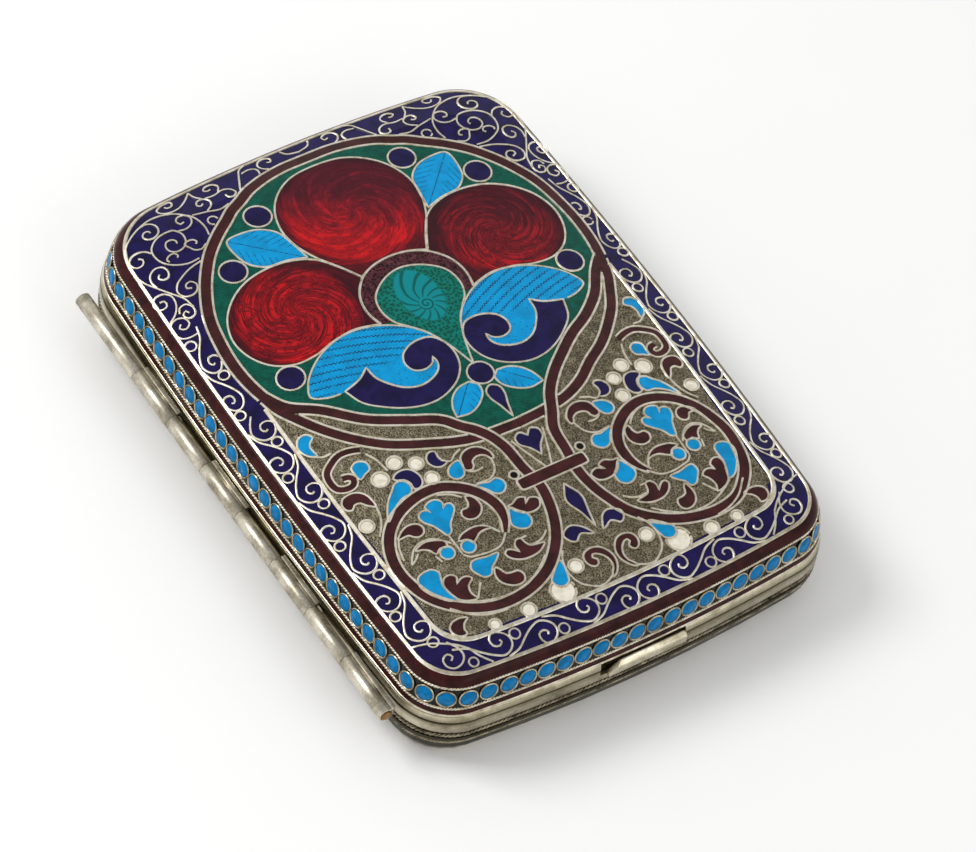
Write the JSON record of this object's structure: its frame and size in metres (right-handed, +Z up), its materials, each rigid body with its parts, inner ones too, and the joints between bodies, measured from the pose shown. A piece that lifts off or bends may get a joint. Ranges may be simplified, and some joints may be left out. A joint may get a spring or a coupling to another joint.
{
  "type": "vanity case",
  "caption": "Shallow domed vanity case with a long side hinge, a push-piece catch at one end, cloisonne enamel over the lid, a mirror inside the lid and a gilt tray in the base.",
  "frame": {"origin": "middle of the footprint, hinge and push-piece included, at the flat underside", "axes": "+Z up out of the lid, +Y along the long side away from the push-piece, hinge on the -X side"},
  "size_m": [0.082, 0.1082, 0.0215],
  "materials": {
    "silver": "worn silver, lightly gilt, softly polished",
    "gilt": "gilt, satin",
    "brass": "worn brass",
    "looking_glass": "silvered glass",
    "field_enamel": "stippled silver ground with red, green, maroon and blue enamel between wires",
    "blue_enamel": "violet-blue enamel, glossy",
    "maroon_enamel": "maroon enamel, glossy",
    "turquoise_enamel": "turquoise enamel pellets in wire rings"
  },
  "bodies": {
    "base": {"base_shell": "silver", "base_rim": "silver", "base_upper_twisted_wire": "silver", "base_plain_wire": "silver", "base_lower_twisted_wire": "silver", "base_hinge_knuckle_1": "silver", "base_hinge_knuckle_2": "silver", "base_hinge_knuckle_3": "silver", "base_hinge_knuckle_4": "silver", "base_under_panel": "field_enamel", "hinge_pin": "brass", "catch_spring": "brass", "spring_rivet_left": "brass", "spring_rivet_right": "brass", "liner_tray": "gilt"},
    "lid": {"lid_shell": "silver", "lid_field_wire": "silver", "lid_shoulder_wire": "silver", "lid_upper_twisted_wire": "silver", "lid_lower_twisted_wire": "silver", "lid_edge_wire": "silver", "lid_rim": "silver", "lid_hinge_knuckle_1": "silver", "lid_hinge_knuckle_2": "silver", "lid_hinge_knuckle_3": "silver", "lid_hinge_knuckle_4": "silver", "lid_field_enamel": "field_enamel", "lid_scroll_border": "blue_enamel", "lid_maroon_band": "maroon_enamel", "lid_pellet_band": "turquoise_enamel", "lid_lower_stripe": "maroon_enamel", "catch_keeper": "gilt", "mirror_frame": "gilt", "mirror_glass": "looking_glass"},
    "push_piece": {"push_piece": "silver"}
  },
  "joints": [
    {"name": "lid_hinge", "type": "hinge", "parent": "base", "child": "lid", "pos_m": [-0.03967, 0, 0.0088], "axis": [0, -1, 0], "range_deg": [0, 110], "deforming": ["catch_spring"]},
    {"name": "push_piece_slide", "type": "slide", "parent": "base", "child": "push_piece", "axis": [0, 1, 0], "range_m": [0, 0.0006], "stiffness_N_per_m": 1500, "springref_m": -0.0004, "deforming": ["catch_spring"]}
  ]
}
